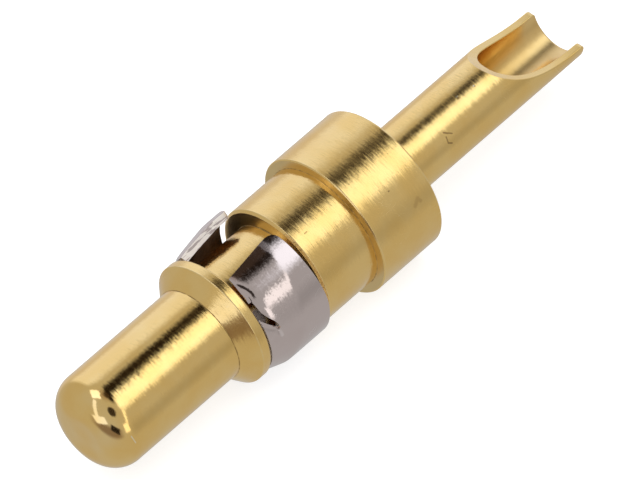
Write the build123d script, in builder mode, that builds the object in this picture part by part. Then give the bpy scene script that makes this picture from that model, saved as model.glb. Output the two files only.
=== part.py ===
"""Male high-current contact with a solder cup, and the spring clip that locks it in a connector.

Lengths are in millimetres. X runs along the contact from the mating tip to the wire end. +Z is the side
that the solder cup opens to. The origin is on the axis, at the front face of the rear flange.
"""

from build123d import *
from math import cos, degrees, radians, sin, sqrt, tan
import os

# Pin that mates with the socket
pin_radius = 1.80
pin_length = 5.67
tip_round = 1.04

# Collar with a lead-in cone, in front of the clip
collar_radius = 2.40
collar_cone_length = 0.55
collar_land_length = 0.36

# Neck that carries the clip
neck_radius = 1.80
neck_length = 2.75

# Plain body and rear flange
body_radius = 2.40
body_length = 2.39
flange_radius = 2.76
flange_length = 2.82
edge_break = 0.05

# Wire barrel and solder cup
barrel_radius = 1.275
barrel_length = 8.70
cup_bore_radius = 1.00
cup_bore_depth = 5.50
drill_point_angle = 118.0
cup_lip_drop = 0.15
cup_flat_length = 0.20
cup_cutter_radius = 5.40
cup_corner_round = 0.15

# Spring clip: sheet, outer radii, rear band, and the play that it has on the neck at each end
sheet = 0.28
clip_band_radius = 2.62
clip_front_radius = 2.37
clip_band_length = 0.76
clip_front_gap = 0.18
clip_rear_gap = 0.27
crease_round = 0.30

# Slot of the clip: angles are counted from +Z, turning towards -Y
slot_angle = 55.0
slot_centre_angle = -14.5
slot_corner_round = 0.38

# Hooks beside the slot, which are bent in until they almost touch the neck
hook_arc = 28.0
hook_length = 0.36
hook_clearance = 0.03
hook_bend_round = 0.20
slit_length = 0.46
slit_width = 0.05

# Skewed notches beside the hooks: they open into the slits
notch_width = 0.67
notch_lean = 1.47
notch_depth = 0.58
notch_tip_round = 0.04

os.makedirs("parts", exist_ok=True)

# Places along the axis, worked out from the flange's front face
flange_rear_x = flange_length
barrel_end_x = flange_rear_x + barrel_length
body_front_x = -body_length
collar_rear_x = body_front_x - neck_length
collar_edge_x = collar_rear_x - collar_land_length
collar_front_x = collar_edge_x - collar_cone_length
tip_x = collar_front_x - pin_length
clip_rear_x = body_front_x - clip_rear_gap
clip_front_x = collar_rear_x + clip_front_gap
crease_x = clip_rear_x - clip_band_length

# Contact body, turned from one bar
with BuildPart() as contact_body:
    with BuildSketch(Plane.XZ):
        with BuildLine():
            nose = RadiusArc(
                (tip_x, pin_radius - tip_round), (tip_x + tip_round, pin_radius), tip_round
            )
            outline = Polyline(
                nose @ 1,
                (collar_front_x, pin_radius),
                (collar_edge_x, collar_radius),
                (collar_rear_x, collar_radius),
                (collar_rear_x, neck_radius),
                (body_front_x, neck_radius),
                (body_front_x, body_radius),
                (0, body_radius),
                (0, flange_radius),
                (flange_rear_x, flange_radius),
                (flange_rear_x, barrel_radius),
                (barrel_end_x, barrel_radius),
                (barrel_end_x, 0),
                (tip_x, 0),
                nose @ 0,
            )
        turned_profile = make_face()
        rim_radii = (collar_radius, body_radius, flange_radius)
        rim_corners = turned_profile.vertices().filter_by(
            lambda corner: any(abs(corner.Y - rim) < edge_break / 10 for rim in rim_radii)
            and corner.X > collar_front_x
            and not (abs(corner.X) < edge_break / 10 and corner.Y < flange_radius - edge_break / 10)
        )
        chamfer(rim_corners, edge_break)
    revolve(axis=Axis.X)

    # Blind solder bore with the drill's pointed bottom
    drill_point_length = cup_bore_radius / tan(radians(drill_point_angle / 2))
    bore_bottom_x = barrel_end_x - cup_bore_depth
    with BuildSketch(Plane.XZ):
        with BuildLine():
            Polyline(
                (barrel_end_x, 0),
                (barrel_end_x, cup_bore_radius),
                (bore_bottom_x, cup_bore_radius),
                (bore_bottom_x - drill_point_length, 0),
                close=True,
            )
        make_face()
    revolve(axis=Axis.X, mode=Mode.SUBTRACT)

    # Upper half of the cup, milled away by a round cutter that leaves through the wire end
    cutter_x = barrel_end_x - cup_flat_length
    cutter_z = cup_cutter_radius - cup_lip_drop
    run_in = sqrt(cup_cutter_radius**2 - (cutter_z - barrel_radius) ** 2)
    with BuildSketch(Plane.XZ):
        with BuildLine():
            ramp = RadiusArc(
                (cutter_x, -cup_lip_drop),
                (cutter_x - run_in, barrel_radius),
                cup_cutter_radius,
            )
            Polyline(
                ramp @ 1,
                (cutter_x - run_in, 2 * barrel_radius),
                (barrel_end_x + barrel_radius, 2 * barrel_radius),
                (barrel_end_x + barrel_radius, -cup_lip_drop),
                ramp @ 0,
            )
        make_face()
    extrude(amount=2 * barrel_radius, both=True, mode=Mode.SUBTRACT)
    lip_corners = (
        contact_body.edges()
        .filter_by(Axis.Y)
        .filter_by_position(Axis.X, barrel_end_x - cup_corner_round, barrel_end_x + cup_corner_round)
    )
    fillet(lip_corners, cup_corner_round)

contact_body.part.label = "contact_body"

# Spring clip: one half is rolled from the slot to the back, and then mirrored
slot_edge_angle = slot_centre_angle + slot_angle / 2
half_arc = 180 - slot_angle / 2
slot_edge_plane = Plane.XZ.rotated((slot_edge_angle, 0, 0))
hook_end_plane = Plane.XZ.rotated((slot_edge_angle + hook_arc, 0, 0))
slot_middle_plane = Plane.XY.rotated((slot_centre_angle - 90, 0, 0))

# Middle line of the sheet: the radii are those of its outside, less half a sheet
half_sheet = sheet / 2
cone_slope = (clip_band_radius - clip_front_radius) / (crease_x - clip_front_x)
band_start = (crease_x, clip_band_radius - half_sheet)
band_end = (clip_rear_x, clip_band_radius - half_sheet)
cone_end = (clip_front_x, clip_front_radius - half_sheet)
hook_tip = (clip_front_x + half_sheet / 2, neck_radius + hook_clearance + half_sheet)
hook_root_x = hook_tip[0] + hook_length
hook_root = (hook_root_x, clip_front_radius - half_sheet + cone_slope * (hook_root_x - clip_front_x))

with BuildPart() as retention_clip:
    # Panel beside the slot, with its front edge bent in as a hook
    with BuildSketch(slot_edge_plane):
        with BuildLine():
            FilletPolyline(
                hook_tip, hook_root, band_start, band_end, radius=[hook_bend_round, crease_round]
            )
        trace(line_width=sheet)
    revolve(axis=Axis.X, revolution_arc=hook_arc)

    # Plain panel from the hook round to the back
    with BuildSketch(hook_end_plane):
        with BuildLine():
            FilletPolyline(cone_end, band_start, band_end, radius=crease_round)
        trace(line_width=sheet)
    revolve(axis=Axis.X, revolution_arc=half_arc - hook_arc)

    # Slit behind the free end of the hook, and the skewed notch beside it
    notch_plane_arc = notch_lean / 2
    notch_plane_angle = slot_edge_angle + hook_arc + degrees(notch_plane_arc / clip_front_radius)
    notch_plane = Plane(
        origin=(0, 0, 0),
        x_dir=(1, 0, 0),
        z_dir=(0, -sin(radians(notch_plane_angle)), cos(radians(notch_plane_angle))),
    )
    slit_x = hook_root_x - hook_length / 3
    hook_trim_arc = notch_plane_arc + slit_width
    notch_tip = (clip_front_x + notch_depth, notch_plane_arc - notch_lean)
    with BuildSketch(notch_plane):
        with BuildLine():
            Polyline(
                (clip_front_x - sheet, hook_trim_arc),
                (slit_x + slit_width / 2, hook_trim_arc),
                notch_tip,
                (clip_front_x, notch_plane_arc - notch_width),
                (clip_front_x - sheet, notch_plane_arc - notch_width),
                close=True,
            )
        notch = make_face()
        fillet(notch.vertices().sort_by(Axis.Y)[0], notch_tip_round)
        with Locations((slit_x, notch_plane_arc + slit_length / 2)):
            Rectangle(slit_width, slit_length)
    extrude(amount=2 * clip_band_radius, mode=Mode.SUBTRACT)

    # Rounded rear corner of the slot
    slot_corner = (
        retention_clip.edges()
        .filter_by(Axis((0, 0, 0), slot_edge_plane.y_dir))
        .sort_by(Axis.X)[-1]
    )
    fillet(slot_corner, slot_corner_round)
    mirror(about=slot_middle_plane)

retention_clip.part.label = "retention_clip"

export_step(contact_body.part, "parts/contact_body.step")
export_step(retention_clip.part, "parts/retention_clip.step")
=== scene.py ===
# %% [markdown]
# # A high-current contact with a solder cup and a spring clip
# This lesson dresses one small metal part: a gold-plated contact that was turned on a lathe, and the steel
# clip that snaps it into a connector. It is 23 mm long, so everything is a matter of clean edges, fine
# turning marks and what the polished metal reflects.
#
# The imported model is loaded first and stays as it is. It fixes the sizes, and every new piece is made
# round it in the same frame: X runs from the rounded tip to the solder cup, and +Z is the side to which
# the cup opens. The formulas work in millimetres, and meshes are written in metres.

# %% Load the frame
import math

import bmesh
import bpy
import numpy as np
from mathutils import Matrix, Vector
from mathutils.geometry import delaunay_2d_cdt


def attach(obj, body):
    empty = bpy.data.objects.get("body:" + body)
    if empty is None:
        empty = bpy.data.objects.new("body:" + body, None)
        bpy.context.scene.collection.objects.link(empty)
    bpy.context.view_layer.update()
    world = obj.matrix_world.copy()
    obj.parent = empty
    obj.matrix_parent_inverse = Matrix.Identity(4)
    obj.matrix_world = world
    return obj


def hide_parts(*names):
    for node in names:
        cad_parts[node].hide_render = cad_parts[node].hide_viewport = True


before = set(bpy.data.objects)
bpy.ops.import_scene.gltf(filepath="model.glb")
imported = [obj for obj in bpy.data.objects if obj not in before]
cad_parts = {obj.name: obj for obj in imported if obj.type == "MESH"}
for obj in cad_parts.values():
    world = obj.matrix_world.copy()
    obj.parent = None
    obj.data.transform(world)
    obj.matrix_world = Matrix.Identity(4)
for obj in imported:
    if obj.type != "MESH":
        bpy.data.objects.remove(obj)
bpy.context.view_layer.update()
MM = 0.001
scene = bpy.context.scene
scene.view_settings.view_transform = "Standard"

# %% [markdown]
# ## The camera
# The real picture was taken from high up in front of the tip with a long lens, so the round steps are
# seen as nearly equal ellipses. Such a view is best fixed by numbers: the point that the lens looks at,
# the two angles from which it looks, the small roll of the camera, and the distance.

# %% Camera
camera_target_mm = (-0.361, -0.105, -0.273)
camera_azimuth, camera_elevation, camera_roll = 318.760, 49.230, 7.293
camera_distance_mm = 361.34
sensor_width_mm, focal_length_mm = 36.0, 608.69


def direction(azimuth, elevation):
    """Unit vector from the part towards a place round it: azimuth 0 is the -Y side and 90 the +X side."""
    a, e = math.radians(azimuth), math.radians(elevation)
    return Vector((math.sin(a) * math.cos(e), -math.cos(a) * math.cos(e), math.sin(e)))


def add_object(name, data):
    """A new object in the scene."""
    made = bpy.data.objects.new(name, data)
    scene.collection.objects.link(made)
    return made


camera_data = bpy.data.cameras.new("product_camera")
camera_data.sensor_width, camera_data.lens = sensor_width_mm, focal_length_mm
camera_data.clip_start, camera_data.clip_end = 10 * MM, 5000 * MM
camera = add_object("product_camera", camera_data)
scene.camera = camera
backwards = direction(camera_azimuth, camera_elevation)
turn = backwards.to_track_quat("Z", "Y").to_matrix().to_4x4()
roll = Matrix.Rotation(math.radians(-camera_roll), 4, "Z")
place = Matrix.Translation((Vector(camera_target_mm) + backwards * camera_distance_mm) * MM)
camera.matrix_world = place @ turn @ roll
print("camera at", np.round(np.array(camera.matrix_world.translation) / MM, 1).tolist(), "mm")

# %% [markdown]
# ## The table and the light
# Polished metal has hardly any colour of its own: it shows the room. So the studio is built as a few plain
# panels that stand round the part, each given by the direction in which it stands and the angle that it
# fills. The table is white and is lit by a lamp of its own, which the metal doesn't mirror, so that the
# ground can be bright while the underside of the part stays calm. A panel's glow and every later finish are
# trees of nodes, so the first cell here holds the helpers that put nodes in a tree and link them.

# %% Helpers for nodes
def put(tree, kind, inputs=None, **choices):
    """Adds a node. The choices are its own settings, and each input is a number or the output that feeds it."""
    made = tree.nodes.new(kind)
    for name, value in choices.items():
        setattr(made, name, value)
    for name, value in (inputs or {}).items():
        if isinstance(value, bpy.types.NodeSocket):
            tree.links.new(value, made.inputs[name])
        else:
            made.inputs[name].default_value = value
    return made


def maths(tree, operation, *values):
    """The result of a Math node."""
    return put(tree, "ShaderNodeMath", dict(enumerate(values)), operation=operation).outputs["Value"]


def times(tree, first, second):
    """Two values multiplied."""
    return maths(tree, "MULTIPLY", first, second)


def vectors(tree, operation, *values):
    """The result of a Vector Math node: a number for a length or a dot product, and else a vector."""
    made = put(tree, "ShaderNodeVectorMath", dict(enumerate(values)), operation=operation)
    return made.outputs["Value" if operation in ("LENGTH", "DOT_PRODUCT") else "Vector"]


def fade(tree, value, low, high, first=0.0, last=1.0):
    """An S-shaped change from first to last while the value goes from low to high."""
    limits = {"Value": value, "From Min": low, "From Max": high, "To Min": first, "To Max": last}
    return put(tree, "ShaderNodeMapRange", limits, interpolation_type="SMOOTHSTEP").outputs["Result"]


def blend(tree, share, first, last):
    """A colour between two others."""
    mix = put(tree, "ShaderNodeMix", {"Factor": share}, data_type="RGBA")
    for name, value in (("A", first), ("B", last)):
        if isinstance(value, bpy.types.NodeSocket):
            tree.links.new(value, mix.inputs[name])
        else:
            mix.inputs[name].default_value = (*value, 1)
    return mix.outputs["Result"]


# %% What a panel glows with
def soft_edged_glow(name, colour, radiance, soft, is_round):
    """A glow that fades out towards the panel's edges: soft is the share of each half side over which it fades.
    On a round panel the distance from the middle counts, and on a square one each of the two directions."""
    material = bpy.data.materials.new(name)
    material.use_nodes = True
    tree = material.node_tree
    tree.nodes.clear()
    on_panel = put(tree, "ShaderNodeTexCoord").outputs["UV"]
    off_middle = vectors(tree, "MULTIPLY_ADD", on_panel, (2, 2, 0), (-1, -1, 0))
    if is_round:
        distances = [vectors(tree, "LENGTH", off_middle)]
    else:
        parts = put(tree, "ShaderNodeSeparateXYZ", {"Vector": vectors(tree, "ABSOLUTE", off_middle)}).outputs
        distances = [parts["X"], parts["Y"]]
    share = 1.0
    for distance in distances:
        share = times(tree, share, fade(tree, distance, 1.0, 1.0 - soft))
    glow = put(tree, "ShaderNodeEmission", {"Color": (*colour, 1), "Strength": radiance}).outputs["Emission"]
    clear = put(tree, "ShaderNodeBsdfTransparent").outputs["BSDF"]
    mixed = put(tree, "ShaderNodeMixShader", {0: share, 1: clear, 2: glow}).outputs["Shader"]
    put(tree, "ShaderNodeOutputMaterial", {"Surface": mixed})
    return material


# %% Panels that stand round the part
def quads(rows, columns):
    """Corner numbers of the four-sided faces of a grid."""
    i, j = np.meshgrid(np.arange(rows - 1), np.arange(columns - 1), indexing="ij")
    k = (i * columns + j).ravel()
    return np.column_stack([k, k + 1, k + columns + 1, k + columns])


def stand(azimuth, elevation, spin=0.0):
    """The turn that carries +Z to a place round the part, with spin about that line."""
    towards = direction(azimuth, elevation).to_track_quat("Z", "Y").to_matrix().to_4x4()
    return towards @ Matrix.Rotation(math.radians(spin), 4, "Z")


farthest_panel_mm, panel_spacing_mm, panel_steps = 900.0, 15.0, 17
panels = []


def panel(name, azimuth, elevation, wide, high, colour, radiance, soft, spin=0.0, is_round=False):
    """A lit panel or a dark card that fills wide by high degrees as seen from the part: a patch of a sphere
    round it, so that a panel made later always stands in front of an earlier one. Only the metal shows it."""
    radius = (farthest_panel_mm - panel_spacing_mm * len(panels)) * MM
    share = np.linspace(-1, 1, panel_steps)
    u, v = np.meshgrid(share, share)
    half_wide, half_high = math.tan(math.radians(wide / 2)), math.tan(math.radians(high / 2))
    towards = np.stack([u * half_wide, v * half_high, np.ones_like(u)], axis=-1)
    points = (towards / np.linalg.norm(towards, axis=-1, keepdims=True) * radius).reshape(-1, 3)
    faces = quads(panel_steps, panel_steps)
    mesh = bpy.data.meshes.new(name)
    mesh.from_pydata(points.tolist(), [], faces.tolist())
    corners = np.column_stack([u.ravel(), v.ravel()])[faces.ravel()] * 0.5 + 0.5
    mesh.uv_layers.new(name="panel").data.foreach_set("uv", corners.astype(np.float32).ravel())
    mesh.materials.append(soft_edged_glow(name, colour, radiance, soft, is_round))
    card = add_object(name, mesh)
    card.matrix_world = stand(azimuth, elevation, spin)
    card.visible_camera = card.visible_diffuse = card.visible_shadow = False
    panels.append(card)


# %% The studio, from what stands farthest to what stands nearest
white, cool_white, key_white = (1.0, 1.0, 1.0), (0.80, 0.87, 1.12), (1.0, 1.07, 1.16)
pale_grey, brown, deep_brown = (0.90, 0.89, 0.93), (1.0, 0.80, 0.70), (1.0, 0.66, 0.45)
# name, azimuth, elevation, width and height in degrees, colour, radiance, and the share that fades
panel("side_wall", 121, 12, 46, 84, cool_white, 0.92, 0.45)
panel("far_wall", 152, -12, 60, 70, pale_grey, 0.72, 0.6)
panel("rear_strip", 161, 24, 40, 64, cool_white, 1.07, 0.55)
panel("top_haze", 100, 86, 48, 48, brown, 0.33, 1.0, is_round=True)
panel("camera_stand", 297, -1, 88, 35, brown, 0.23, 0.65)
panel("back_box", 216, 68.5, 26, 25, cool_white, 1.7, 0.2, spin=4)
panel("tip_strip", 264, 38, 10, 50, cool_white, 1.3, 0.25, spin=22)
panel("tip_box", 279, 14.7, 37, 18, cool_white, 1.3, 0.25, spin=30)
panel("top_gap", 83, 72.6, 62, 28, deep_brown, 0.018, 0.55, spin=-27, is_round=True)
panel("top_beam", 80, 82, 22, 20, deep_brown, 0.05, 0.55, is_round=True)
panel("key_box", 48.2, 53.3, 56, 31.5, key_white, 1.38, 0.7, spin=16)
panel("front_strip", 10, 30, 14, 44, white, 1.35, 0.7, spin=-32)
panel("front_box", 353, 8.5, 20, 24, white, 1.35, 0.4)
panel("lens", camera_azimuth + 7, 50, 26, 29, brown, 0.04, 0.35, spin=-9, is_round=True)
panel("camera_body", 315, 7, 29, 19, brown, 0.02, 0.35, spin=-21)
panel("table_edge", 26, -4.5, 60, 42, white, 0.40, 1.0)
print("panels", [card.name for card in panels])

# %% Room tone
room_tone, backdrop_tone = 0.50, 1.0
world = bpy.data.worlds.new("studio_room")
scene.world = world
world.use_nodes = True
seen_by_camera = put(world.node_tree, "ShaderNodeLightPath").outputs["Is Camera Ray"]
tone = blend(world.node_tree, seen_by_camera, (room_tone,) * 3, (backdrop_tone,) * 3)
world.node_tree.links.new(tone, world.node_tree.nodes["Background"].inputs["Color"])
print("room tone", room_tone)

# %% Table and its lamp
flange_radius = 2.76
table_half_mm = 1500.0
table_white, table_glow, table_roughness = 0.45, 0.75, 0.9
table_material = bpy.data.materials.new("white_table")
table_material.use_nodes = True
table_shader = table_material.node_tree.nodes["Principled BSDF"]
table_shader.inputs["Base Color"].default_value = (table_white, table_white, table_white, 1)
table_shader.inputs["Roughness"].default_value = table_roughness
table_shader.inputs["Specular IOR Level"].default_value = 0.0
table_shader.inputs["Emission Color"].default_value = (1, 1, 1, 1)
table_shader.inputs["Emission Strength"].default_value = table_glow
table_corners = np.array([(-1, -1, 0), (1, -1, 0), (1, 1, 0), (-1, 1, 0)]) * table_half_mm
table_corners[:, 2] = -flange_radius
table_mesh = bpy.data.meshes.new("table")
table_mesh.from_pydata((table_corners * MM).tolist(), [], [(0, 1, 2, 3)])
table_mesh.materials.append(table_material)
table = add_object("table", table_mesh)
table.visible_glossy = False

lamp_width_mm, lamp_distance_mm, lamp_watts = 900.0, 700.0, 6.0
lamp_azimuth, lamp_elevation = 300, 80
lamp = bpy.data.lights.new("table_lamp", "AREA")
lamp.shape, lamp.size, lamp.energy = "SQUARE", lamp_width_mm * MM, lamp_watts
table_lamp = add_object("table_lamp", lamp)
lamp_away = Matrix.Translation((0, 0, lamp_distance_mm * MM))
table_lamp.matrix_world = stand(lamp_azimuth, lamp_elevation) @ lamp_away
table_lamp.visible_camera = table_lamp.visible_glossy = False
print("table at z", -flange_radius, "mm")

# %% [markdown]
# ## The turned gold body
# The real body is one bar, turned on a lathe and plated. Its shape is a profile carried round the axis,
# and the computer can make it the same way: the corners of the profile are listed with the small rounding
# that each has, the arcs are worked out, and each point of the line becomes a ring. A modelled cylinder
# with a bevel would do as well, but a profile keeps all the steps in one list, as on the maker's drawing.

# %% The profile of the contact, from the tip to the barrel
profile_corners = np.array([
    # along the axis, radius, rounding, and the edge value: 1 paints a highlight on a rim, -1 paints shade in a
    # corner
    (-11.72, 0.000, 0.00, 0.0),
    (-11.72, 1.800, 1.04, 0.0),
    (-6.05, 1.800, 0.03, -0.7),
    (-5.50, 2.400, 0.04, 0.8),
    (-5.14, 2.400, 0.06, 0.3),
    (-5.14, 1.800, 0.03, -1.0),
    (-2.39, 1.800, 0.03, -0.8),
    (-2.39, 2.310, 0.03, 0.0),
    (-2.30, 2.400, 0.02, 1.0),
    (0.00, 2.400, 0.01, -0.6),
    (0.00, 2.720, 0.02, 0.0),
    (0.04, 2.760, 0.02, 0.9),
    (2.82, 2.760, 0.06, 0.6),
    (2.82, 1.275, 0.04, -0.6),
])
guard_mm = 0.02
large_round_mm, large_steps, small_steps = 1.0, 25, 7


def corner_arc(before, corner, after, radius, steps):
    """Points on the circle of that radius that touches both lines of a corner, from one line to the other."""
    u, w = before - corner, after - corner
    u, w = u / np.linalg.norm(u), w / np.linalg.norm(w)
    half = np.arccos(np.clip(u @ w, -1, 1)) / 2
    middle = corner + (u + w) / np.linalg.norm(u + w) * radius / np.sin(half)
    start = corner + u * radius / np.tan(half) - middle
    end = corner + w * radius / np.tan(half) - middle
    share = np.linspace(0, 1, steps)[:, None]
    full = np.pi - 2 * half
    return middle + (np.sin((1 - share) * full) * start + np.sin(share * full) * end) / np.sin(full)


def rounded_line(corners, last):
    """The profile's points: each corner as an arc, with a guard point just before and after it, so that the
    smooth shading of the arc doesn't spread over the plain stretches. The edge values come with them, 0 off the
    arcs: they paint highlights on the rims and shade in the inner corners."""
    points, wear = [corners[0, :2]], [0.0]
    ends = np.vstack([corners[:, :2], last])
    for i in range(1, len(corners)):
        steps = large_steps if corners[i, 2] > large_round_mm else small_steps
        arc = corner_arc(ends[i - 1], ends[i], ends[i + 1], corners[i, 2], steps)
        into, out = arc[0] - ends[i - 1], ends[i + 1] - arc[-1]
        first_guard = arc[0] - into / np.linalg.norm(into) * guard_mm
        last_guard = arc[-1] + out / np.linalg.norm(out) * guard_mm
        points += [first_guard, *arc, last_guard]
        wear += [0.0] + [corners[i, 3]] * len(arc) + [0.0]
    return np.array([*points, last]), np.array([*wear, 0.0])


# %% [markdown]
# ## The solder cup
# At the wire end the barrel is drilled, and a round cutter then takes away the upper side, so that the
# wire can be laid in. Cutting solids with each other would leave ragged faces. Here the cut is a line in
# the side view, and at each of its points the barrel's walls simply start at the height of the line: the
# outside, the bore, the sawn faces between them and the end face are grids that share their edges, and the
# sawn faces carry the small rounding of their own two edges.

# %% The line of the cut, seen from the side
barrel_radius, bore_radius = 1.275, 1.00
barrel_end_x, bore_bottom_x, drill_point_mm = 11.52, 6.02, 0.60
cutter_radius, lip_drop, lip_flat, lip_round = 5.67, 0.06, 0.20, 0.19
outer_break, inner_break, end_break = 0.04, 0.03, 0.06
over_bore_steps, beside_bore_steps, lip_steps, last_height = 24, 56, 14, 0.02
cutter_x, cutter_z = barrel_end_x - lip_flat, cutter_radius - lip_drop


def cut_line():
    """The cutter's arc from the top of the barrel down to the lip, the short flat, and the rounded corner. The
    heights are spaced by the angle at which they cross the outside first, and then the bore."""
    bore_angle = np.arccos(bore_radius / barrel_radius)
    lip_angle = np.arccos((last_height - lip_drop) / bore_radius)
    over_bore = barrel_radius * np.cos(np.linspace(0, bore_angle, over_bore_steps))
    beside_bore = bore_radius * np.cos(np.linspace(0, lip_angle, beside_bore_steps))
    z = np.concatenate([over_bore, beside_bore[1:]])
    arc = np.column_stack([cutter_x - np.sqrt(cutter_radius**2 - (cutter_z - z) ** 2), z])
    round_x, round_z = barrel_end_x - lip_round, -lip_drop - lip_round
    flat = np.array([(cutter_x, -lip_drop), (round_x, -lip_drop)])
    a = np.linspace(0, np.pi / 2, lip_steps)[1:]
    corner = np.column_stack([round_x + lip_round * np.sin(a), round_z + lip_round * np.cos(a)])
    return np.vstack([arc, flat, corner])


cut = cut_line()
cut_start_x = cut[0, 0]
print("the cut starts at x", round(cut_start_x, 2), "mm and has", len(cut), "points")

# %% Grids, rings and one closed skin
ring_points = 288
weld_mm, sliver_mm = 0.0004, 0.0002


def ring(x, radius, first=0.0):
    """Rings round the axis, one row each. Angles run from first to a full turn less first, from +Z to -Y."""
    x, radius, first = np.broadcast_arrays(*(np.atleast_1d(np.asarray(v, float)) for v in (x, radius, first)))
    angle = first[:, None] + (2 * np.pi - 2 * first[:, None]) * np.linspace(0, 1, ring_points + 1)[None, :]
    r = radius[:, None]
    return np.stack([np.broadcast_to(x[:, None], angle.shape), -r * np.sin(angle), r * np.cos(angle)], axis=-1)


def skin(name, grids, sharp_degrees=28.0):
    """Joins grids of points in millimetres into one smooth closed mesh in metres, with its faces outwards. Each
    grid comes with the number of its material and the edge values of its rows or columns, which paint highlights
    and shade."""
    points, faces, finishes, edge_values, start = [], [], [], [], 0
    for grid, finish, wear in grids:
        points.append(grid.reshape(-1, 3))
        edge_values.append(np.broadcast_to(wear, grid.shape[:2]).ravel())
        faces.append(quads(*grid.shape[:2]) + start)
        finishes.append(np.full(len(faces[-1]), finish, np.int32))
        start += grid.shape[0] * grid.shape[1]
    points, faces = np.vstack(points) * MM, np.vstack(faces)
    mesh = bpy.data.meshes.new(name)
    mesh.vertices.add(len(points))
    mesh.vertices.foreach_set("co", points.astype(np.float32).ravel())
    mesh.loops.add(faces.size)
    mesh.loops.foreach_set("vertex_index", faces.astype(np.int32).ravel())
    mesh.polygons.add(len(faces))
    mesh.polygons.foreach_set("loop_start", np.arange(0, faces.size, 4, dtype=np.int32))
    mesh.polygons.foreach_set("material_index", np.concatenate(finishes))
    edge_value_layer = mesh.attributes.new("wear", "FLOAT", "POINT")
    edge_value_layer.data.foreach_set("value", np.concatenate(edge_values).astype(np.float32))
    mesh.update(calc_edges=True)
    work = bmesh.new()
    work.from_mesh(mesh)
    bmesh.ops.remove_doubles(work, verts=work.verts, dist=weld_mm * MM)
    bmesh.ops.dissolve_degenerate(work, edges=work.edges, dist=sliver_mm * MM)
    bmesh.ops.recalc_face_normals(work, faces=work.faces)
    open_edges = sum(1 for edge in work.edges if not edge.is_manifold)
    volume = work.calc_volume(signed=True) / MM**3
    work.to_mesh(mesh)
    work.free()
    mesh.shade_smooth()
    mesh.set_sharp_from_angle(angle=math.radians(sharp_degrees))
    print(name, len(mesh.polygons), "faces,", open_edges, "open edges, volume", round(volume, 2), "mm3")
    return mesh


# %% The cup's wall in cross-section
inner_break_run, path_steps = 0.4, 7


def arcs(middle_y, middle_z, radius, angle):
    """An arc for each point of the cut. Angles run from the top towards the side."""
    y, z = middle_y[:, None] + radius * np.sin(angle), middle_z[:, None] + radius * np.cos(angle)
    return np.stack([y, z], axis=-1)


def wall_section():
    """For each point of the cut, half of the wall's upper edge as seen along the axis: an arc that leaves the
    bore, a level stretch, and an arc that joins the outside. The first arc grows from nothing where the bore
    opens. The section comes with the radius of the outside and of the bore, and where the bore is open."""
    x, z = cut.T
    rounding = end_break - np.sqrt(end_break**2 - np.clip(x - barrel_end_x + end_break, 0, end_break) ** 2)
    outside, inside = barrel_radius - rounding, bore_radius + rounding
    is_open = z <= bore_radius + weld_mm / 100
    small = inner_break * np.clip((bore_radius - z) / inner_break_run, 0, 1)
    outer_y = np.sqrt(np.clip((outside - outer_break) ** 2 - (z - outer_break) ** 2, 0, None))
    inner_y = np.sqrt(np.clip((inside + small) ** 2 - (z - small) ** 2, 0, None)) * is_open
    outer_angle = np.arctan2(outer_y, z - outer_break)
    inner_angle = np.arctan2(inner_y, z - small) * is_open
    share = np.linspace(0, 1, path_steps)[None, :]
    leave_angle = (np.pi + inner_angle[:, None]) * (1 - share) + 2 * np.pi * share
    leave = arcs(inner_y, z - small, small[:, None], leave_angle)
    leave[~is_open] = np.stack([np.zeros_like(z), z], axis=-1)[~is_open][:, None, :]
    level_y = inner_y[:, None] * (1 - share) + outer_y[:, None] * share
    level = np.stack([level_y, np.broadcast_to(z[:, None], level_y.shape)], axis=-1)
    join = arcs(outer_y, z - outer_break, outer_break, outer_angle[:, None] * share)
    return np.concatenate([leave, level[:, 1:-1], join], axis=1), outside, inside, is_open


edge_path, outside, inside, is_open = wall_section()
path_radius = np.linalg.norm(edge_path, axis=-1)
path_angle = np.arctan2(edge_path[..., 0], edge_path[..., 1])
print("the wall's edge has", edge_path.shape[1], "points in each of", edge_path.shape[0], "sections")

# %% The gold body
turned_line, turned_edge_shading = rounded_line(profile_corners, np.array([cut_start_x, barrel_radius]))
turned = ring(turned_line[:, 0], turned_line[:, 1])
outer = ring(cut[:, 0], outside, path_angle[:, -1])
open_x, closed_rows = cut[is_open, 0], 15
bore_x = np.concatenate([np.linspace(bore_bottom_x, open_x[0], closed_rows + 1)[:-1], open_x])
bore_r = np.concatenate([np.full(closed_rows, bore_radius), inside[is_open]])
bore = ring(bore_x, bore_r, np.concatenate([np.zeros(closed_rows), path_angle[is_open, 0]]))
drill_tip = ring([bore_bottom_x - drill_point_mm, bore_bottom_x], [0.0, bore_radius])
end_face = ring(np.full(edge_path.shape[1], barrel_end_x), path_radius[-1], path_angle[-1])


def sawn_face(side):
    """The upper edge of the wall that the cutter leaves, on one side of the cup."""
    x = np.broadcast_to(cut[:, :1], edge_path.shape[:2])
    return np.stack([x, side * edge_path[..., 0], edge_path[..., 1]], axis=-1)


plated, bored = 0, 1
columns, sawn_edge_highlight = edge_path.shape[1], 0.5
# the middles of the two rounded edges of the sawn faces get a painted highlight
edge_columns = np.isin(np.arange(columns), [2, 3, 4, columns - 4, columns - 3]) * sawn_edge_highlight
contact_mesh = skin("gold_contact", [
    (turned, plated, turned_edge_shading[:, None]), (outer, plated, 0.0), (end_face, plated, 0.0),
    (sawn_face(-1), plated, edge_columns[None, :]), (sawn_face(1), plated, edge_columns[None, :]),
    (bore, bored, 0.0), (drill_tip, bored, 0.0),
])
gold_contact = add_object("gold_contact", contact_mesh)
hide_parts("contact_body")
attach(gold_contact, "root")

# %% [markdown]
# ## The spring clip
# The clip is stamped from spring strip and rolled into an open ring: a straight band at the back, a cone at
# the front, a hook bent in beside the slot, and a skewed notch. It could be cut out of a solid ring, but the
# real one starts as a flat blank, and so does this one: the outline is drawn on the unrolled strip, filled
# with fine triangles, and a formula then says where each place of the strip goes when it is rolled.

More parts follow.
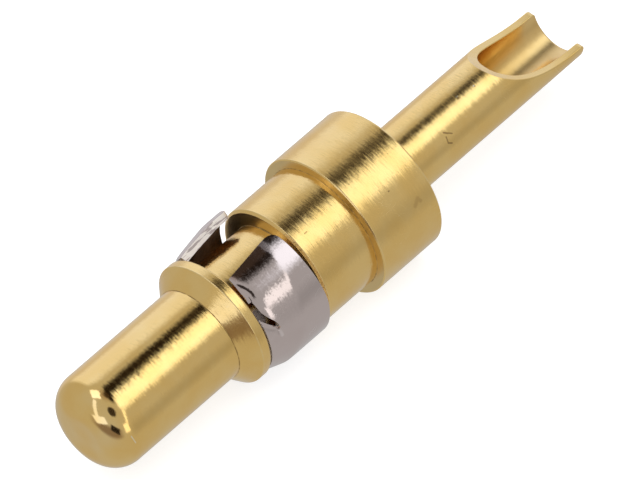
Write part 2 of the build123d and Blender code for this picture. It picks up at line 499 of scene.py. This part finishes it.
# %% The flat blank: angle round the axis, and place along it
lens_side_angle = 33.0
slot_middle = -47.5
back_middle = slot_middle + 180
blank_zero_x = -11.08
front_outline = [
    # angle in degrees from the side that faces the lens, place in mm along the axis
    (-17.6, 6.10), (-6.0, 6.06), (8.7, 6.05), (8.7, 6.155), (4.2, 6.175), (3.6, 6.185), (4.2, 6.195),
    (8.0, 6.185), (9.8, 6.16), (15.8, 6.19), (21.1, 6.215), (27.0, 6.32), (32.9, 6.47), (37.0, 6.55),
    (39.2, 6.57), (40.4, 6.53), (37.9, 6.43), (33.2, 6.26), (27.7, 6.10), (25.5, 6.045), (28.3, 6.03),
    (37.8, 6.02), (48.0, 6.03), (72.0, 6.08),
]
near_rear_outline = [
    (68.0, 8.59), (48.0, 8.59), (33.0, 8.54), (19.0, 8.48), (0.0, 8.42), (-11.5, 8.385), (-16.4, 8.36),
    (-18.6, 8.31), (-20.4, 8.23), (-21.4, 8.11), (-21.7, 7.97),
]
far_rear_outline = [
    (68.0, 8.58), (30.0, 8.55), (10.0, 8.49), (-10.0, 8.42), (-17.0, 8.39), (-19.6, 8.36), (-21.1, 8.29),
    (-21.6, 8.18),
]
back_rear, back_front = (back_middle, 8.58), (back_middle, 6.10)
near_outline = np.array([back_rear, *near_rear_outline, *front_outline, back_front])
far_outline = np.array(far_rear_outline + front_outline)
blank_step_mm, mean_radius_mm = 0.07, 2.5
row_share, clear_share = 0.87, 0.6
inside_only, same_point_mm = 1, 1e-6


def flat(line):
    """Angle and place become two lengths in mm on the unrolled strip."""
    return np.column_stack([np.radians(line[:, 0]) * mean_radius_mm, line[:, 1]])


def even_points(loop, step):
    """Points at about even steps round a closed line, its corners kept."""
    spans = np.linalg.norm(np.roll(loop, -1, axis=0) - loop, axis=1)
    counts = np.maximum(1, np.round(spans / step)).astype(int)
    corner = np.repeat(np.arange(len(loop)), counts)
    share = (np.arange(counts.sum()) - np.repeat(np.cumsum(counts) - counts, counts)) / counts[corner]
    return loop[corner] + (np.roll(loop, -1, axis=0)[corner] - loop[corner]) * share[:, None]


other_half = far_outline[::-1] * (-1, 1) + (2 * back_middle, 0)
outline = even_points(flat(np.vstack([near_outline, other_half])), blank_step_mm)
across, along = np.meshgrid(
    np.arange(outline[:, 0].min(), outline[:, 0].max(), blank_step_mm),
    np.arange(outline[:, 1].min(), outline[:, 1].max(), blank_step_mm * row_share),
)
across[::2] += blank_step_mm / 2
middle = np.column_stack([across.ravel(), along.ravel()])
to_outline = np.sqrt(((middle[:, None, :] - outline[None, :, :]) ** 2).sum(axis=2)).min(axis=1)
middle = middle[to_outline > blank_step_mm * clear_share]
blank = delaunay_2d_cdt(
    [Vector(p) for p in np.vstack([outline, middle])], [], [list(range(len(outline)))], inside_only, same_point_mm
)
blank_points = np.array([tuple(p) for p in blank[0]])
blank_faces = np.array(blank[2])
print("blank", len(blank_points), "points,", len(blank_faces), "triangles")

# %% How the strip is rolled
clip_sheet = 0.28
band_radius, front_radius, front_place = 2.62, 2.37, 6.10
crease_near_slot, crease_sweep, crease_softness = 7.70, 0.84, 0.08
sweep_from, sweep_over, sweep_power = 36.5, 101, 1.9
play_mm = 0.045
roll_in_softness, notch_softness = 0.11, 0.02
# lines on the strip: the angle from the side that faces the lens, with a place along the axis or with degrees
notch_line = [(8.7, 5.9), (25.5, 6.05), (27.7, 6.13), (33.2, 6.28), (40.4, 6.54)]
roll_in_line = [(-17, 6.10), (-10, 6.15), (-6, 6.21), (-2, 6.27), (2, 6.31), (12, 6.35), (32, 6.45)]
roll_in_degrees = [(3, 33), (13, 21)]
hook_end_angle = 8.75
tongue_dip, tongue_reach = 0.10, 0.13
satin_behind_crease, satin_reach = 0.06, 0.17
# stretches, in degrees, over which the notch's edge, the tongue and the satin come or go
edge_goes, tongue_comes, tongue_goes, satin_goes = (33, 43), (20, 28), (38, 50), (-15, -7)


def soft_step(value, low, high):
    """0 below low, 1 above high, and an S-shaped rise between them."""
    t = np.clip((value - low) / (high - low), 0, 1)
    return t * t * (3 - 2 * t)


def soft_corner(t, softness):
    """0 for negative t and t for positive t, with a rounded corner between the two lines."""
    return (t + np.sqrt(t * t + softness * softness)) / 2


def on_line(line, side):
    """The value of a line on the strip at each angle."""
    return np.interp(side, *np.transpose(line))


def roll_up(points):
    """From the strip to the ring: the radius is that of the band, less the cone's slope in front of the crease.
    In front of the roll-in line, the panel beside the slot turns down towards its hook and the edge of the notch,
    and the tongue on the other side of the notch dips a little under that edge. The points come with the bend,
    which is 1 where the crease was rubbed dull beside the slot, and 0 away from it."""
    angle, place = np.degrees(points[:, 0] / mean_radius_mm), points[:, 1]
    side = np.minimum(angle, 2 * back_middle - angle)
    sweep = np.clip((side - slot_middle - sweep_from) / sweep_over, 0, 1) ** sweep_power
    crease = crease_near_slot - crease_sweep * sweep
    slope = (band_radius - front_radius) / (crease - front_place)
    behind_notch = place - on_line(notch_line, side)
    rolled_in = soft_step(behind_notch, -notch_softness, notch_softness) * (1 - soft_step(side, *edge_goes))
    rolled_in = np.where(side < hook_end_angle, 1.0, rolled_in)
    ahead = soft_corner(on_line(roll_in_line, side) - place, roll_in_softness) * rolled_in
    turned = np.radians(on_line(roll_in_degrees, side))
    radius = band_radius - slope * soft_corner(crease - place, crease_softness) - ahead * np.sin(turned)
    new_place = place + ahead * (1 - np.cos(turned))
    under_notch = soft_step(side, *tongue_comes) * (1 - soft_step(side, *tongue_goes)) * (behind_notch < 0)
    radius = radius - tongue_dip * np.exp(-((behind_notch / tongue_reach) ** 2)) * under_notch
    off_crease = (place - crease - satin_behind_crease) / satin_reach
    bend = np.exp(-(off_crease**2)) * (1 - soft_step(side, *satin_goes))
    theta = np.radians(angle + lens_side_angle)
    shift = np.radians(lens_side_angle - 90)
    y = -radius * np.sin(theta) - play_mm * np.sin(shift)
    z = radius * np.cos(theta) + play_mm * np.cos(shift)
    return np.column_stack([new_place + blank_zero_x, y, z]), bend


rolled, bent = roll_up(blank_points)
print("least radius of the hooks", np.linalg.norm(rolled[:, 1:], axis=1).min().round(2), "mm")

# %% The clip, from its outside inwards
edge_break_mm, edge_degrees = 0.034, 50
corner_a, corner_b, corner_c = rolled[blank_faces].transpose(1, 0, 2)
normals = np.cross(corner_b - corner_a, corner_c - corner_a)
if (normals[:, 1:] * corner_a[:, 1:]).sum() < 0:
    blank_faces = blank_faces[:, ::-1]
clip_mesh = bpy.data.meshes.new("spring_clip")
clip_mesh.from_pydata((rolled * MM).tolist(), [], blank_faces.tolist())
clip_mesh.attributes.new("bend", "FLOAT", "POINT").data.foreach_set("value", bent.astype(np.float32))
loose = bmesh.new()
loose.from_mesh(clip_mesh)
bmesh.ops.delete(loose, geom=[v for v in loose.verts if not v.link_faces], context="VERTS")
loose.to_mesh(clip_mesh)
loose.free()
clip_mesh.shade_smooth()
spring_clip = add_object("spring_clip", clip_mesh)
wall = spring_clip.modifiers.new("sheet", "SOLIDIFY")
wall.thickness, wall.offset, wall.use_even_offset = clip_sheet * MM, -1, True
wall.material_offset_rim, wall.material_offset = 1, 2
edges = spring_clip.modifiers.new("broken_edges", "BEVEL")
edges.width, edges.segments = edge_break_mm * MM, 2
edges.limit_method, edges.angle_limit = "ANGLE", math.radians(edge_degrees)
edges.harden_normals, edges.material = True, 1
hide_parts("retention_clip")
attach(spring_clip, "root")
print("clip", len(clip_mesh.vertices), "points on its outside")

# %% [markdown]
# ## Finishes
# The real part carries no paint: gold and steel differ only in what they do to the light. The turned bar
# keeps the fine rings that the lathe tool left under the plating, the strip keeps the grain of the rollers,
# and both have hairline scratches and specks. The gold's rims carry painted highlights and its inner corners
# painted shade, and the clip's crease is rubbed to satin. Each of these effects is a node group with its
# own sockets, built once, and placed in every finish with other numbers.

# %% Helpers for node groups
def scaled(tree, vector, factor):
    """A vector times a number."""
    made = put(tree, "ShaderNodeVectorMath", {0: vector, "Scale": factor}, operation="SCALE")
    return made.outputs["Vector"]


def noise(tree, vector, scale, detail):
    """The value of a noise texture."""
    made = put(tree, "ShaderNodeTexNoise", {"Vector": vector, "Scale": scale, "Detail": detail})
    return made.outputs["Fac"]


def place_in_mm(tree):
    """Where a point of the piece lies, in millimetres."""
    return scaled(tree, put(tree, "ShaderNodeTexCoord").outputs["Object"], 1000.0)


def new_group(name, inputs, outputs):
    """An empty node group with named sockets: its tree, what it is given inside, and where its results go."""
    tree = bpy.data.node_groups.new(name, "ShaderNodeTree")
    for label, kind, value in inputs:
        socket = tree.interface.new_socket(label, in_out="INPUT", socket_type="NodeSocket" + kind)
        if value is not None:
            socket.default_value = value
    for label, kind in outputs:
        tree.interface.new_socket(label, in_out="OUTPUT", socket_type="NodeSocket" + kind)
    return tree, tree.nodes.new("NodeGroupInput").outputs, tree.nodes.new("NodeGroupOutput").inputs


def use(tree, group, **inputs):
    """Places a node group in a material. A socket called Lines Per Mm is written as lines_per_mm."""
    made = put(tree, "ShaderNodeGroup", node_tree=group)
    for name, value in inputs.items():
        socket = made.inputs[name.replace("_", " ").title()]
        if isinstance(value, bpy.types.NodeSocket):
            tree.links.new(value, socket)
        else:
            socket.default_value = value
    return made.outputs


# %% Fine lines that run round the part
noise_gain = 7.0


def make_fine_lines():
    """Noise is drawn out into rings: it changes fast along the profile, whose place is the sum of the distance
    along the axis and the radius, and slowly round the part. It tilts the normal a little, along the profile
    and round it."""
    tree, given, result = new_group(
        "fine_lines",
        [("Normal", "Vector", None), ("Lines Per Mm", "Float", 12.0), ("Drift Per Mm", "Float", 0.4),
         ("Tilt Along", "Float", 0.05), ("Tilt Round", "Float", 0.03)],
        [("Normal", "Vector"), ("Tone", "Float")],
    )
    place = place_in_mm(tree)
    parts = put(tree, "ShaderNodeSeparateXYZ", {"Vector": place}).outputs
    off_axis = put(tree, "ShaderNodeCombineXYZ", {"Y": parts["Y"], "Z": parts["Z"]}).outputs["Vector"]
    along = maths(tree, "ADD", parts["X"], vectors(tree, "LENGTH", off_axis))
    drawn = put(tree, "ShaderNodeCombineXYZ", {
        "X": times(tree, along, given["Lines Per Mm"]),
        "Y": times(tree, parts["Y"], given["Drift Per Mm"]),
        "Z": times(tree, parts["Z"], given["Drift Per Mm"]),
    }).outputs["Vector"]
    texture = put(tree, "ShaderNodeTexNoise", {"Vector": drawn, "Scale": 1.0, "Detail": 2.0, "Roughness": 0.6})
    three = put(tree, "ShaderNodeSeparateColor", {"Color": texture.outputs["Color"]}).outputs
    minus_z = times(tree, parts["Z"], -1.0)
    round_part = put(tree, "ShaderNodeCombineXYZ", {"Y": minus_z, "Z": parts["Y"]}).outputs["Vector"]
    round_part = vectors(tree, "NORMALIZE", round_part)
    along_profile = vectors(tree, "CROSS_PRODUCT", round_part, given["Normal"])
    bent = given["Normal"]
    for channel, tilt, towards in (("Red", "Tilt Along", along_profile), ("Green", "Tilt Round", round_part)):
        centred = maths(tree, "MULTIPLY_ADD", three[channel], noise_gain, -noise_gain / 2)
        lean = times(tree, centred, given[tilt])
        bent = vectors(tree, "ADD", bent, scaled(tree, towards, lean))
    tree.links.new(vectors(tree, "NORMALIZE", bent), result["Normal"])
    tree.links.new(three["Blue"], result["Tone"])
    return tree


# %% Hairline scratches and specks
def make_hairlines():
    """Thin level lines of a noise that is drawn out in one slanting direction, kept only where a second noise
    is high."""
    tree, given, result = new_group(
        "hairlines",
        [("Turn", "Vector", (0.4, 0.3, 0.9)), ("Share", "Float", 0.5), ("Width", "Float", 0.01)],
        [("Mask", "Float")],
    )
    turned = put(tree, "ShaderNodeMapping", {"Vector": place_in_mm(tree), "Rotation": given["Turn"]})
    turned = turned.outputs["Vector"]
    drawn = vectors(tree, "MULTIPLY", turned, (0.35, 4.0, 4.0))
    off_level = maths(tree, "ABSOLUTE", maths(tree, "SUBTRACT", noise(tree, drawn, 1.0, 0.0), 0.5))
    line = fade(tree, off_level, 0.0, given["Width"], 1.0, 0.0)
    where = noise(tree, turned, 0.9, 1.0)
    kept = fade(tree, maths(tree, "ADD", where, given["Share"]), 1.0, 1.08)
    tree.links.new(times(tree, line, kept), result["Mask"])
    return tree


def make_specks():
    """Round dots in a few of the cells of a Voronoi pattern, each cell with one dot at most."""
    tree, given, result = new_group(
        "specks",
        [("Cells Per Mm", "Float", 2.0), ("Size", "Float", 0.05), ("Share", "Float", 0.1)],
        [("Mask", "Float")],
    )
    cells = put(tree, "ShaderNodeTexVoronoi", {"Vector": place_in_mm(tree), "Scale": given["Cells Per Mm"]})
    size = times(tree, given["Size"], given["Cells Per Mm"])
    dot = fade(tree, cells.outputs["Distance"], times(tree, size, 0.5), size, 1.0, 0.0)
    chance = put(tree, "ShaderNodeSeparateColor", {"Color": cells.outputs["Color"]}).outputs["Red"]
    chosen = maths(tree, "LESS_THAN", chance, given["Share"])
    tree.links.new(times(tree, dot, chosen), result["Mask"])
    return tree


# %% Rubbed edges and single marks
def make_ragged_edge():
    """Turns an edge value, from 0 to 1, into a ragged mask. On the gold it places painted highlights on the rims
    and painted shade in the corners, and on the clip the rubbed satin of the crease.
    """
    tree, given, result = new_group(
        "ragged_edge", [("Wear", "Float", 0.0), ("Raggedness", "Float", 0.5)], [("Mask", "Float")]
    )
    ragged = maths(tree, "SUBTRACT", noise(tree, place_in_mm(tree), 6.0, 3.0), 0.5)
    ragged = times(tree, ragged, given["Raggedness"])
    reach = maths(tree, "ADD", given["Wear"], times(tree, ragged, 4.0))
    mask = times(tree, fade(tree, reach, 0.3, 0.8), fade(tree, given["Wear"], 0.0, 0.3))
    tree.links.new(mask, result["Mask"])
    return tree


def make_small_mark():
    """One short mark: everything within a width of a straight line through a place, in millimetres."""
    tree, given, result = new_group(
        "small_mark",
        [("Place", "Vector", (0, 0, 0)), ("Direction", "Vector", (1, 0, 0)), ("Half Length", "Float", 0.1),
         ("Width", "Float", 0.03)],
        [("Mask", "Float")],
    )
    offset = vectors(tree, "SUBTRACT", place_in_mm(tree), given["Place"])
    along = vectors(tree, "DOT_PRODUCT", offset, given["Direction"])
    back = times(tree, given["Half Length"], -1.0)
    along = maths(tree, "MAXIMUM", maths(tree, "MINIMUM", along, given["Half Length"]), back)
    off_line = vectors(tree, "SUBTRACT", offset, scaled(tree, given["Direction"], along))
    core = times(tree, given["Width"], 0.4)
    mask = fade(tree, vectors(tree, "LENGTH", off_line), core, given["Width"], 1.0, 0.0)
    tree.links.new(mask, result["Mask"])
    return tree


fine_lines, hairlines, specks, ragged_edge, small_mark = (
    make_fine_lines(), make_hairlines(), make_specks(), make_ragged_edge(), make_small_mark()
)
print("node groups", [group.name for group in bpy.data.node_groups])

# %% [markdown]
# ## Marks of use and painted light
# Noise spreads its marks evenly, but a real part is known by its few odd ones. Each of these is placed with the
# group for small marks: where it lies, which way it runs, half its length and its width. The dark ones are nicks
# that have caught dirt, the faint ones are stains, and the bright ones are painted glints and a bright scratch.

# %% Single marks on the gold and on the steel, in millimetres
dark_marks = [
    ((5.09, -0.91, 0.89), (0.73, -0.49, -0.49), 0.08, 0.040),
    ((5.22, -0.98, 0.81), (0.77, -0.42, -0.48), 0.08, 0.035),
    ((5.00, -1.04, 0.72), (-0.20, -0.55, -0.81), 0.10, 0.035),
    ((5.04, -1.13, 0.58), (0.80, -0.27, -0.53), 0.08, 0.040),
    ((6.31, -0.40, 1.21), (1.0, 0.0, 0.0), 0.02, 0.045), ((7.06, -0.45, 1.19), (1.0, 0.0, 0.0), 0.01, 0.035),
    ((-1.80, -1.08, 2.14), (1.0, 0.0, 0.0), 0.05, 0.035), ((1.35, -1.90, 2.00), (1.0, 0.0, 0.0), 0.02, 0.030),
]
faint_marks = [
    ((2.02, -2.46, 1.25), (0.77, 0.29, 0.57), 0.13, 0.11),
    ((2.16, -2.46, 1.24), (0.47, -0.34, -0.81), 0.07, 0.09),
]
# the first two are painted glints on the barrel, the last a bright scratch on the nose
bright_marks = [
    ((6.31, -0.32, 1.23), (1.0, 0.0, 0.0), 0.02, 0.035), ((7.04, -0.42, 1.21), (1.0, 0.0, 0.0), 0.02, 0.030),
    ((-10.945, -1.70, 0.445), (0.19, -0.29, -0.94), 0.17, 0.024),
]
# painted shade: a dull dark patch on the neck where it lies in shadow under the clip's notch
notch_shade = [((-4.78, -1.58, 0.82), (0.0, 0.46, 0.89), 0.12, 0.42)]
clip_marks = [
    ((-3.42, -2.46, 0.90), (0.99, -0.08, -0.12), 0.11, 0.030),
    ((-3.43, -2.51, 0.74), (1.0, 0.0, 0.0), 0.02, 0.030),
]
notch_glint = [((-4.56, -2.39, 0.51), (0.18, -0.205, -0.962), 0.13, 0.09)]


def all_marks(tree, marks):
    """The masks of several small marks, joined into one."""
    joined = 0.0
    for place, along, half_length, width in marks:
        mark = use(tree, small_mark, place=place, direction=along, half_length=half_length, width=width)
        joined = maths(tree, "MAXIMUM", joined, mark["Mask"])
    return joined


def tinted(tree, colour, tints):
    """A colour with others laid over it: each comes with its mask and with its strength."""
    for mask, strength, tint in tints:
        colour = blend(tree, times(tree, mask, strength), colour, tint)
    return colour


print("marks", len(dark_marks + faint_marks + bright_marks), "on the gold,", len(clip_marks), "on the clip")

# %% [markdown]
# ## Gold plating
# Gold over nickel over a turned bar: the colour is deep and even, and all the life is in the rings. The pin
# is the smoothest stretch, because it has to slide into its socket. The flat faces keep coarser rings, the
# rims carry a painted highlight, and the inner corners a painted shade. The bore is drilled and rougher than
# the outside, and its reflections of itself turn the gold towards orange; deeper in, its colour is painted
# darker and more orange, as painted shade and reflection. The neck under the clip's notch has a painted shade.

# %% Gold plating, outside and in the bore
# Painted light among these: the rims' highlight, shade in corners, deep bore and notch, and glints.
cloudy_gold, face_gold, rim_highlight_gold = (0.95, 0.75, 0.42), (0.80, 0.60, 0.27), (1.0, 0.80, 0.42)
scratch_gold, glint_and_scratch_gold, bore_shade_orange = (1.0, 0.88, 0.60), (1.0, 0.93, 0.72), (0.64, 0.37, 0.085)
corner_shade_brown, speck_brown, nick_brown = (0.22, 0.12, 0.035), (0.20, 0.13, 0.05), (0.30, 0.17, 0.06)
stain_brown, notch_shade_grey = (0.50, 0.30, 0.10), (0.30, 0.25, 0.23)
behind_pin, behind_flange = (-6.1, -5.9), (2.7, 2.9)


def new_finish(name):
    """A material with its tree and its Principled shader."""
    material = bpy.data.materials.new(name)
    material.use_nodes = True
    return material, material.node_tree, material.node_tree.nodes["Principled BSDF"]


def gold_finish(name, gold, deep_gold, plain_roughness, pin_tilt, body_tilt, along_tilt):
    """Plated metal: rings from the lathe, painted highlights on the rims, painted shade in the inner corners,
    specks and hairlines. In the bore the colour deeper in is painted shade; outside there are single marks, and a
    painted shade on the neck under the clip's notch.
    """
    material, tree, shader = new_finish(name)
    shader.inputs["Metallic"].default_value = 1.0
    place = place_in_mm(tree)
    x = put(tree, "ShaderNodeSeparateXYZ", {"Vector": place}).outputs["X"]
    normal = put(tree, "ShaderNodeNewGeometry").outputs["Normal"]
    on_barrel = fade(tree, x, *behind_flange, 0.0, pin_tilt - body_tilt)
    tilt_round = maths(tree, "ADD", fade(tree, x, *behind_pin, pin_tilt, body_tilt), on_barrel)
    nose = fade(tree, x, -11.3, -10.3, 0.12, 1.0)
    tilts = (along_tilt, tilt_round, 0.012)
    ring_tilt, round_tilt, grain_tilt = (times(tree, nose, tilt) for tilt in tilts)
    rings = use(tree, fine_lines, normal=normal, lines_per_mm=30.0, drift_per_mm=1.8,
                tilt_along=ring_tilt, tilt_round=round_tilt)
    grain = use(tree, fine_lines, normal=rings["Normal"], lines_per_mm=16.0, drift_per_mm=14.0,
                tilt_along=grain_tilt, tilt_round=grain_tilt)
    tree.links.new(grain["Normal"], shader.inputs["Normal"])
    wear = put(tree, "ShaderNodeAttribute", attribute_name="wear").outputs["Fac"]
    rim_highlight = use(tree, ragged_edge, wear=wear)["Mask"]
    corner_shade = use(tree, ragged_edge, wear=times(tree, wear, -1.0), raggedness=0.3)["Mask"]
    scratches = use(tree, hairlines, turn=(0.4, 0.3, 0.9), share=0.44, width=0.005)["Mask"]
    dots = use(tree, specks, cells_per_mm=1.6, size=0.035, share=0.06)["Mask"]
    stains = noise(tree, place, 0.8, 3.0)
    clouds = noise(tree, place, 0.55, 1.0)
    clouds = times(tree, fade(tree, clouds, 0.4, 0.62), fade(tree, x, -10.9, -11.5, 0.0, 0.45))
    facing = put(tree, "ShaderNodeSeparateXYZ", {"Vector": normal}).outputs["X"]
    flat_face = fade(tree, maths(tree, "ABSOLUTE", facing), 0.85, 0.97)
    flat_face = times(tree, flat_face, fade(tree, x, -11.0, -10.0))
    # rims get a painted highlight and inner corners a painted shade
    tints = [(clouds, 1.0, cloudy_gold), (flat_face, 1.0, face_gold), (rim_highlight, 0.4, rim_highlight_gold),
             (corner_shade, 0.7, corner_shade_brown), (dots, 0.6, speck_brown), (scratches, 0.2, scratch_gold)]
    if name == "gold_in_bore":
        # deeper in the bore the gold is painted darker and more orange: painted shade and reflection
        tints.insert(1, (fade(tree, x, 10.3, 8.0), 1.0, bore_shade_orange))
    else:
        for marks, strength, tint in ((dark_marks, 0.7, nick_brown), (faint_marks, 0.3, stain_brown),
                                      (bright_marks, 0.8, glint_and_scratch_gold), (notch_shade, 1.0, notch_shade_grey)):
            tints.append((all_marks(tree, marks), strength, tint))
        # the notch shade is painted: the neck there turns dark and loses its shine
        notch_shade_mask = tints[-1][0]
        tree.links.new(maths(tree, "MULTIPLY_ADD", notch_shade_mask, -0.9, 1.0), shader.inputs["Metallic"])
    colour = blend(tree, fade(tree, stains, 0.35, 0.65), gold, deep_gold)
    tree.links.new(tinted(tree, colour, tints), shader.inputs["Base Color"])
    rough = maths(tree, "ADD", plain_roughness, fade(tree, stains, 0.3, 0.7, -0.015, 0.02))
    rough = maths(tree, "ADD", rough, fade(tree, x, *behind_pin, 0.0, 0.08))
    rough = maths(tree, "ADD", rough, fade(tree, rings["Tone"], 0.45, 0.7, 0.0, 0.04))
    for mask, more in ((flat_face, 0.17), (rim_highlight, 0.04), (corner_shade, 0.25), (scratches, 0.12), (dots, 0.3)):
        rough = maths(tree, "MULTIPLY_ADD", mask, more, rough)
    tree.links.new(rough, shader.inputs["Roughness"])
    return material


gold_plating = gold_finish("gold_plating", (0.990, 0.690, 0.262), (0.970, 0.645, 0.215), 0.090, 0.010, 0.021, 0.036)
gold_in_bore = gold_finish("gold_in_bore", (0.950, 0.670, 0.280), (0.880, 0.590, 0.220), 0.21, 0.006, 0.006, 0.012)
contact_mesh.materials.append(gold_plating)
contact_mesh.materials.append(gold_in_bore)
print("gold faces per finish", np.bincount([face.material_index for face in contact_mesh.polygons]).tolist())

# %% [markdown]
# ## Spring steel
# The strip is bright from the rollers, whose grain runs round the ring, with a fine tooth that makes the
# edges of each reflection look sandy. Beside the slot the crease was rubbed to satin, by the bend that each
# point of the mesh carries. Where the sheet was sheared it is lighter and dull, with streaks along the cut.
# The inside of the ring is painted dark brown, as painted shade with a painted reflection of the gold, and it
# is dull as well.

# %% Rolled sheet, sheared edges, and the inside of the ring
dot_grey, scratch_grey, nick_grey = (0.12, 0.10, 0.10), (0.95, 0.93, 0.92), (0.14, 0.11, 0.11)
glint_grey, streak_grey = (0.86, 0.76, 0.73), (0.42, 0.35, 0.34)
sheared_metallic = 0.6


def steel_finish(name, steel, dark_steel, plain_roughness, line_tilt, tooth_tilt, lines_per_mm=9.0):
    """Strip steel: grain of the rollers, a sandy tooth, stains, scratches and specks."""
    material, tree, shader = new_finish(name)
    is_sheared = name == "sheared_edge"
    shader.inputs["Metallic"].default_value = sheared_metallic if is_sheared else 1.0
    place = place_in_mm(tree)
    normal = put(tree, "ShaderNodeNewGeometry").outputs["Normal"]
    grain = use(tree, fine_lines, normal=normal, lines_per_mm=lines_per_mm, drift_per_mm=0.7,
                tilt_along=line_tilt, tilt_round=line_tilt * 0.6)
    tooth = use(tree, fine_lines, normal=grain["Normal"], lines_per_mm=13.0, drift_per_mm=13.0,
                tilt_along=tooth_tilt, tilt_round=tooth_tilt)
    tree.links.new(tooth["Normal"], shader.inputs["Normal"])
    scratches = use(tree, hairlines, turn=(1.1, 0.2, 0.5), share=0.48, width=0.008)["Mask"]
    dots = use(tree, specks, cells_per_mm=2.2, size=0.03, share=0.05)["Mask"]
    stains = noise(tree, place, 1.3, 4.0)
    bend = put(tree, "ShaderNodeAttribute", attribute_name="bend").outputs["Fac"]
    satin = use(tree, ragged_edge, wear=bend, raggedness=0.25)["Mask"]
    tints = [(dots, 0.6, dot_grey), (scratches, 0.25, scratch_grey),
             (all_marks(tree, clip_marks), 0.75, nick_grey), (all_marks(tree, notch_glint), 0.8, glint_grey)]
    if is_sheared:
        drawn = vectors(tree, "MULTIPLY", place, (1.2, 14.0, 14.0))
        streaks = noise(tree, drawn, 1.0, 2.0)
        tints.insert(0, (fade(tree, streaks, 0.50, 0.57), 0.9, streak_grey))
    colour = blend(tree, fade(tree, stains, 0.3, 0.7), steel, dark_steel)
    tree.links.new(tinted(tree, colour, tints), shader.inputs["Base Color"])
    rough = maths(tree, "ADD", plain_roughness, fade(tree, stains, 0.3, 0.7, -0.02, 0.03))
    rough = maths(tree, "MULTIPLY_ADD", satin, 0.16, rough)
    rough = maths(tree, "MULTIPLY_ADD", maths(tree, "MAXIMUM", scratches, dots), 0.2, rough)
    tree.links.new(rough, shader.inputs["Roughness"])
    return material


spring_steel = steel_finish("spring_steel", (0.71, 0.605, 0.57), (0.69, 0.585, 0.55), 0.078, 0.010, 0.013)
sheared_edge = steel_finish("sheared_edge", (1.0, 0.95, 0.88), (0.86, 0.79, 0.74), 0.42, 0.16, 0.06, 7.0)
# the inside of the ring is painted dark brown: painted shade with a painted reflection of the gold
ring_inside = steel_finish("ring_inside", (0.36, 0.20, 0.11), (0.27, 0.14, 0.07), 0.40, 0.03, 0.03)
for finish in (spring_steel, sheared_edge, ring_inside):
    clip_mesh.materials.append(finish)
print("finishes of the clip", [finish.name for finish in clip_mesh.materials])
